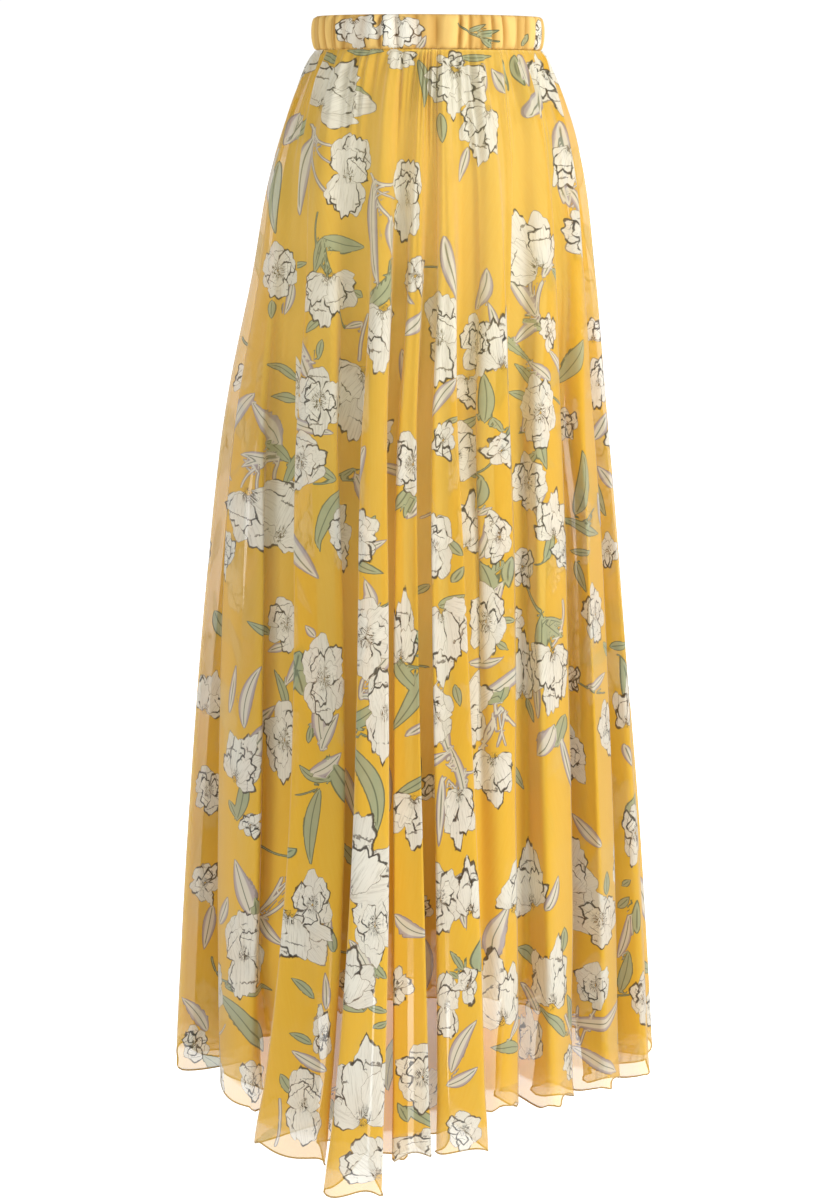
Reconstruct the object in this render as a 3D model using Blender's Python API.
"""A gathered maxi skirt as it hangs from the waist of a wearer who isn't there.

Metres, +Z up. The front faces -Y and the wearer's left is +X. The origin is the centre of the
waistband at half its height, where the wearer's waist holds it.
Angles run round the skirt from the centre front towards the wearer's left, in degrees.
A "drop" is the way straight down from the waistband's top edge.
"""

import math

import bmesh
import bpy
import numpy as np

# ---- driving sizes ----
LENGTH = 1.032  # top of the band to the hem
BAND_TALL = 0.030
BAND_HALF_WIDE = 0.1105  # the band's middle line, side to side
BAND_HALF_DEEP = 0.0925  # the band's middle line, front to back
TOP_SWEEP = 1.05  # width of the chiffon round its gathered top edge, laid flat
HEM_SWEEP = 3.30  # width of the chiffon round its hem, laid flat
LINING_LENGTH = 0.840  # top of the band to the lining's hem
CHIFFON = 0.0012  # wall of the chiffon
LINING_WALL = 0.0010
SEAM_GAP = 0.0003  # between pieces that are sewn together
FOLD_CLEARANCE = 0.006  # between the lining and the bottom of a fold
PAST_LINING = 0.010  # the folds keep that clearance to this far below the lining's hem

BAND_OUT = 0.0020  # band's outer face, out from its middle line, between puckers
BAND_IN = 0.0030  # band's inner face, in from its middle line
PUCKER = 0.0024  # height of a pucker on the band
BAND_EDGE_PINCH = 0.0008  # the band is this much thinner at its two edges

SKIRT_TOP_OUT = 0.0012  # chiffon's top edge, out from the band's middle line
LINING_TOP_IN = 0.0022  # lining's top edge, in from the band's middle line

# The outline round the tops of the folds: an ellipse at each drop, and how far it has swung aside.
OUTLINE_COLUMNS = ("drop", "half_wide", "half_deep", "swing")
OUTLINE = (
    (0.030, BAND_HALF_WIDE + SKIRT_TOP_OUT, BAND_HALF_DEEP + SKIRT_TOP_OUT, 0.00),
    (0.040, 0.1160, 0.1000, 0.03),
    (0.075, 0.1320, 0.1170, 0.15),
    (0.130, 0.1510, 0.1350, 0.26),
    (0.240, 0.1715, 0.1540, 0.45),
    (0.355, 0.1910, 0.1720, 0.85),
    (0.530, 0.2120, 0.1910, 1.00),
    (0.770, 0.2350, 0.2120, 1.00),
    (LENGTH, 0.2540, 0.2290, 1.00),
)
HEM_SWING = (-0.0128, 0.0104)  # the hem's centre, aside from the waist's, in X and Y

LINING_COLUMNS = ("drop", "half_wide", "half_deep")
LINING = (
    (0.030, BAND_HALF_WIDE - LINING_TOP_IN, BAND_HALF_DEEP - LINING_TOP_IN),
    (0.060, 0.1175, 0.0975),
    (0.120, 0.1350, 0.1130),
    (0.220, 0.1480, 0.1220),
    (0.500, 0.1600, 0.1260),
    (LINING_LENGTH, 0.1680, 0.1290),
)

# One row for each fold, from the centre-front seam round to the wearer's left.
# waist and hem: the angle of the fold's ridge there. reach: its radius at the hem as a share of
# the outline's. lift: how far the hem is caught up there.
FOLD_COLUMNS = ("waist", "hem", "reach", "lift")
FOLDS = (
    (16, 20.0, 0.760, 0.000),
    (39, 37.6, 0.880, 0.002),
    (56, 49.0, 0.985, 0.000),
    (70, 63.0, 1.000, 0.006),
    (84, 78.0, 1.030, 0.000),
    (98, 93.0, 1.040, 0.004),
    (113, 109.0, 1.010, 0.008),
    (128, 125.0, 1.020, 0.002),
    (142, 141.0, 0.950, 0.006),
    (156, 157.0, 0.970, 0.000),
    (170, 173.0, 0.900, 0.005),
    (185, 188.0, 0.930, 0.002),
    (198, 203.0, 0.890, 0.007),
    (210, 217.0, 0.970, 0.000),
    (223, 230.0, 0.985, 0.012),
    (253, 253.0, 0.780, 0.004),
    (277, 292.0, 0.970, 0.000),
    (304, 310.0, 1.180, -0.009),
    (318, 321.0, 0.930, 0.002),
    (327, 334.0, 0.920, 0.000),
    (346, 359.0, 0.680, 0.010),
)
# The seams lie in valleys between folds. A gore runs from one fold number to another.
GORES = {
    "gore_front_left": (0, 5),
    "gore_back_left": (5, 11),
    "gore_back_right": (11, 16),
    "gore_front_right": (16, 21),
}
# The lining's panels meet at the centre front, the centre back and the sides.
LINING_PANELS = {
    "lining_front_left": 0,
    "lining_back_left": 90,
    "lining_back_right": 180,
    "lining_front_right": 270,
}
FOLD_BULGE = 0.50  # how far a ridge swells over the valleys beside it, at the hem
DEEPEST_VALLEY = 1.0  # of the way between the ridges on its two sides
HEM_VALLEY_SHARE = 0.55  # the deepest a valley may reach at the hem, as a share of the radius

GATHERS_PER_FOLD = 2
GATHER_COLUMNS = ("drop", "height")
GATHER = (
    (0.030, 0.0009),
    (0.036, 0.0018),
    (0.050, 0.0034),
    (0.090, 0.0028),
    (0.150, 0.0016),
    (0.260, 0.0008),
    (0.380, 0.0000),
    (LENGTH, 0.0000),
)
HEM_WAVE = 0.0030  # height of the ripples along the rolled edge
HEM_WAVE_DROP = 0.050  # they fade out over this height

# ---- how finely the solids are cut ----
COLUMNS_PER_FOLD = 10
ROW_DROPS = (
    0.030 + SEAM_GAP, 0.038, 0.052, 0.080, 0.130, 0.210,
    0.320, 0.460, 0.610, 0.740, LINING_LENGTH + PAST_LINING, 0.935, LENGTH - 0.030, LENGTH,
)
LINING_COLUMNS_PANEL = 10
LINING_DROPS = (0.030 + SEAM_GAP, 0.055, 0.100, 0.170, 0.300, 0.560, LINING_LENGTH)
SOLVE_COLUMNS_PER_FOLD = 16

TOP_Z = BAND_TALL / 2


def clear_scene():
    for thing in list(bpy.data.objects):
        bpy.data.objects.remove(thing)


def column_of(rows, columns, name):
    """One named column of a table, as an array."""
    return np.array([row[columns.index(name)] for row in rows], float)


def curve_through(places, values, at):
    """A smooth curve through the values at those places, read at one place or many."""
    slopes = np.gradient(values, places)
    at = np.clip(np.asarray(at, float), places[0], places[-1])
    i = np.clip(np.searchsorted(places, at, side="right") - 1, 0, len(places) - 2)
    width = places[i + 1] - places[i]
    t = (at - places[i]) / width
    rise = values[i + 1] - values[i]
    return (
        values[i]
        + rise * (3 * t**2 - 2 * t**3)
        + width * slopes[i] * (t**3 - 2 * t**2 + t)
        + width * slopes[i + 1] * (t**3 - t**2)
    )


def read(rows, columns, name, drop):
    return curve_through(column_of(rows, columns, "drop"), column_of(rows, columns, name), drop)


def ease(t):
    t = np.clip(t, 0.0, 1.0)
    return t * t * (3 - 2 * t)


def ellipse_radius(half_wide, half_deep, degrees):
    turn = np.radians(degrees)
    return 1 / np.sqrt((np.sin(turn) / half_wide) ** 2 + (np.cos(turn) / half_deep) ** 2)


def share_down(drop):
    """0 at the top edge of the chiffon and 1 at its hem."""
    return (drop - BAND_TALL) / (LENGTH - BAND_TALL)


def ridge_angles(drop):
    """The angle of each ridge, with the last one repeated before the first and the first after."""
    waist = column_of(FOLDS, FOLD_COLUMNS, "waist")
    hem = column_of(FOLDS, FOLD_COLUMNS, "hem")
    angles = waist + (hem - waist) * share_down(drop)
    return np.concatenate([[angles[-1] - 360], angles, [angles[0] + 360]])


def wrapped(values):
    return np.concatenate([[values[-1]], values, [values[0]]])


def outline_radius(degrees, drop):
    wide = read(OUTLINE, OUTLINE_COLUMNS, "half_wide", drop)
    deep = read(OUTLINE, OUTLINE_COLUMNS, "half_deep", drop)
    return ellipse_radius(wide, deep, degrees)


def lining_radius(degrees, drop):
    wide = read(LINING, LINING_COLUMNS, "half_wide", drop)
    deep = read(LINING, LINING_COLUMNS, "half_deep", drop)
    return ellipse_radius(wide, deep, degrees)


def fold_curve(columns, drop, depth):
    """Radius and angle at each column. A column is a fold's number plus the way across it, from
    valley to valley. depth is how far the valleys sink, from 0 to the lining's clearance at 1."""
    ridges = ridge_angles(drop)
    valleys = (ridges[:-1] + ridges[1:]) / 2
    reach = 1 + (wrapped(column_of(FOLDS, FOLD_COLUMNS, "reach")) - 1) * share_down(drop) ** 1.2
    ridge_radius = outline_radius(ridges, drop) * reach
    crest = (ridge_radius[:-1] + ridge_radius[1:]) / 2
    free = LINING_LENGTH + PAST_LINING
    below_lining = ease((drop - free) / (LENGTH - free))
    rest = lining_radius(valleys, min(drop, LINING_LENGTH)) + FOLD_CLEARANCE
    floor = rest * (1 - below_lining) + HEM_VALLEY_SHARE * crest * below_lining
    floor = np.minimum(floor, crest)
    apart = np.radians(ridges[1:] - ridges[:-1]) * crest
    valley_radius = crest - np.minimum(depth * (crest - floor), DEEPEST_VALLEY * apart)

    fold = np.clip(np.floor(columns + 1e-9).astype(int), 0, len(FOLDS) - 1)
    across = columns - fold
    swell = (1 - np.cos(2 * math.pi * across)) / 2
    bulge = FOLD_BULGE * ease(share_down(drop) / 0.7)
    phase = across - 0.5 * bulge * np.sin(2 * math.pi * across) * swell
    start, end = valleys[fold], valleys[fold + 1]
    skew = ridges[fold + 1] - (start + end) / 2
    degrees = start + phase * (end - start) + skew * 4 * phase * (1 - phase)
    base = valley_radius[fold] + (valley_radius[fold + 1] - valley_radius[fold]) * ease(across)
    return base + (ridge_radius[fold + 1] - base) * swell, degrees


def round_length(radius, degrees):
    turn = np.radians(degrees)
    x, y = radius * np.sin(turn), radius * np.cos(turn)
    return float(np.hypot(np.diff(x), np.diff(y)).sum())


def fold_depth(drop):
    """The depth of the folds that takes up the chiffon's flat width at this drop. Near the top
    the small gathers take up the rest."""
    taken_by_gathers = 1 + 0.42 * (1 - ease((drop - BAND_TALL) / 0.22))
    width = TOP_SWEEP + (HEM_SWEEP - TOP_SWEEP) * share_down(drop)
    columns = np.linspace(0, len(FOLDS), len(FOLDS) * SOLVE_COLUMNS_PER_FOLD + 1)
    low, high = 0.0, 1.0
    for _ in range(24):
        middle = (low + high) / 2
        if round_length(*fold_curve(columns, drop, middle)) * taken_by_gathers < width:
            low = middle
        else:
            high = middle
    return (low + high) / 2


def gather_wave(columns, drop):
    """Small gathers under the band, no two quite alike, and the ripples of the rolled hem."""
    turn = 2 * math.pi * columns * GATHERS_PER_FOLD
    uneven = 0.75 + 0.25 * np.sin(columns * 2.9 + 1.0) * np.cos(columns * 1.7)
    gathers = read(GATHER, GATHER_COLUMNS, "height", drop) * uneven * np.cos(turn)
    near_hem = ease(1 - (LENGTH - drop) / HEM_WAVE_DROP)
    ripples = HEM_WAVE * near_hem * np.cos(turn + 0.8 * np.sin(columns * 1.3))
    return gathers, ripples


def chiffon_ring(columns, drop, depth):
    """Points of the chiffon's middle surface round one level."""
    radius, degrees = fold_curve(columns, drop, depth)
    gathers, ripples = gather_wave(columns, drop)
    turn = np.radians(degrees)
    swing = read(OUTLINE, OUTLINE_COLUMNS, "swing", drop)
    radius = radius + gathers
    lifts = wrapped(column_of(FOLDS, FOLD_COLUMNS, "lift"))
    lift = np.interp(columns, np.arange(-0.5, len(FOLDS) + 1), lifts) * share_down(drop) ** 3
    x = radius * np.sin(turn) + HEM_SWING[0] * swing
    y = -radius * np.cos(turn) + HEM_SWING[1] * swing
    return np.stack([x, y, TOP_Z - drop + lift + ripples], 1)


def lining_ring(degrees, drop):
    turn = np.radians(degrees)
    radius = lining_radius(degrees, drop)
    swing = read(OUTLINE, OUTLINE_COLUMNS, "swing", drop)
    x = radius * np.sin(turn) + HEM_SWING[0] * swing
    y = -radius * np.cos(turn) + HEM_SWING[1] * swing
    return np.stack([x, y, np.full_like(x, TOP_Z - drop)], 1)


def unit(vectors):
    return vectors / np.linalg.norm(vectors, axis=-1, keepdims=True)


def outward(rings):
    """The outward normal at each point of a stack of rings, from the top one down. It is level
    along the top ring, so that the wall ends in a flat edge under the band."""
    along = np.gradient(rings, axis=1)
    down = np.gradient(rings, axis=0)
    normals = unit(np.cross(down, along))
    normals[0, :, 2] = 0
    return unit(normals)


def pull_in_edges(rings, gap):
    """Moves the first and last column half a seam gap towards their neighbours."""
    rings = rings.copy()
    for edge, beside in ((0, 1), (-1, -2)):
        rings[:, edge] += unit(rings[:, beside] - rings[:, edge]) * gap / 2
    return rings


def sheet_solid(name, middle, normals, wall, material):
    """A closed wall of one thickness about a grid of points, rows by columns."""
    rows, columns = middle.shape[:2]
    inner = middle - normals * wall / 2
    bm = bmesh.new()
    bmesh.ops.create_grid(bm, x_segments=columns - 1, y_segments=rows - 1, size=1)
    bm.verts.ensure_lookup_table()
    step = {}
    for index, vert in enumerate(bm.verts):
        row, column = divmod(index, columns)
        vert.co = inner[row, column]
        step[vert] = normals[row, column] * wall
    moved = {vert: vert.co.copy() for vert in bm.verts}
    made = bmesh.ops.extrude_face_region(bm, geom=bm.faces[:], use_keep_orig=True)
    raised = [item for item in made["geom"] if isinstance(item, bmesh.types.BMVert)]
    offsets = {tuple(place): step[vert] for vert, place in moved.items()}
    for vert in raised:
        vert.co += type(vert.co)(offsets[tuple(vert.co)])
    bmesh.ops.recalc_face_normals(bm, faces=bm.faces)
    return finish(name, bm, material)


def finish(name, bm, material):
    mesh = bpy.data.meshes.new(name)
    bm.to_mesh(mesh)
    bm.free()
    mesh.materials.append(material)
    mesh.shade_smooth()
    thing = bpy.data.objects.new(name, mesh)
    bpy.context.scene.collection.objects.link(thing)
    return thing


def cloth_material(name, colour, roughness):
    material = bpy.data.materials.new(name)
    material.use_nodes = True
    surface = material.node_tree.nodes["Principled BSDF"]
    surface.inputs["Base Color"].default_value = (*colour, 1)
    surface.inputs["Roughness"].default_value = roughness
    surface.inputs["Metallic"].default_value = 0.0
    return material


def make_gores(material):
    depths = [fold_depth(drop) for drop in ROW_DROPS]
    print("fold depth down the skirt:", np.round(depths, 2))
    count = len(FOLDS) * COLUMNS_PER_FOLD
    columns = np.arange(-1, count + 2) / COLUMNS_PER_FOLD
    columns = np.where(columns < 0, columns + len(FOLDS), columns)
    columns = np.where(columns > len(FOLDS), columns - len(FOLDS), columns)
    rings = np.array(
        [chiffon_ring(columns, drop, depth) for drop, depth in zip(ROW_DROPS, depths)]
    )
    normals = outward(rings)
    for name, (first, last) in GORES.items():
        span = slice(first * COLUMNS_PER_FOLD + 1, last * COLUMNS_PER_FOLD + 2)
        middle = pull_in_edges(rings[:, span], SEAM_GAP)
        sheet_solid(name, middle, normals[:, span], CHIFFON, material)


def make_lining(material):
    for name, start in LINING_PANELS.items():
        step = 90 / LINING_COLUMNS_PANEL
        degrees = start + step * np.arange(-1, LINING_COLUMNS_PANEL + 2)
        rings = np.array([lining_ring(degrees, drop) for drop in LINING_DROPS])
        normals = outward(rings)[:, 1:-1]
        middle = pull_in_edges(rings[:, 1:-1], SEAM_GAP)
        sheet_solid(name, middle, normals, LINING_WALL, material)


def band_section(height):
    """The band's outer bulge at heights from its lower edge (0) to its upper edge (1)."""
    return np.sin(math.pi * np.clip(height, 0, 1)) ** 0.6


def make_band(material):
    """Two halves of the elastic casing. Its outer face stands up in puckers over a plain inside."""
    puckers = len(FOLDS)
    heights = np.array([0.0, 0.18, 0.5, 0.82, 1.0])
    for name, start in (("waistband_front", -90), ("waistband_back", 90)):
        steps = puckers * 4
        share = np.arange(steps + 1) / steps
        share[0] += SEAM_GAP / 2 / 0.33
        share[-1] -= SEAM_GAP / 2 / 0.33
        degrees = start + 180 * share
        turn = np.radians(degrees)
        radius = ellipse_radius(BAND_HALF_WIDE, BAND_HALF_DEEP, degrees)
        wave = np.cos(2 * math.pi * share * puckers + 0.6 * np.sin(degrees * 0.11))
        uneven = 0.7 + 0.3 * np.sin(degrees * 0.21 + 0.7)
        loop = []
        for height in heights:
            out = BAND_OUT - BAND_EDGE_PINCH * (1 - band_section(height))
            out = out + PUCKER * uneven * (0.5 + 0.5 * wave) * (0.35 + 0.65 * band_section(height))
            loop.append((radius + out, BAND_TALL * height - BAND_TALL / 2))
        for height in (1.0, 0.0):
            loop.append((radius - BAND_IN, np.full_like(radius, BAND_TALL * (height - 0.5))))
        bm = bmesh.new()
        rails = []
        for reach, level in loop:
            level = np.broadcast_to(level, reach.shape)
            rails.append(
                [bm.verts.new((r * math.sin(t), -r * math.cos(t), z))
                 for r, t, z in zip(reach, turn, level)]
            )
        for one, other in zip(rails, rails[1:] + rails[:1]):
            for k in range(steps):
                bm.faces.new((one[k], one[k + 1], other[k + 1], other[k]))
        for end in (0, -1):
            bm.faces.new([rail[end] for rail in rails])
        bmesh.ops.recalc_face_normals(bm, faces=bm.faces)
        finish(name, bm, material)


def main():
    clear_scene()
    chiffon = cloth_material("printed_chiffon", (0.83, 0.52, 0.10), 0.75)
    lining = cloth_material("plain_lining", (0.86, 0.55, 0.12), 0.6)
    band = cloth_material("gathered_band", (0.84, 0.53, 0.13), 0.7)
    make_gores(chiffon)
    make_lining(lining)
    make_band(band)


main()
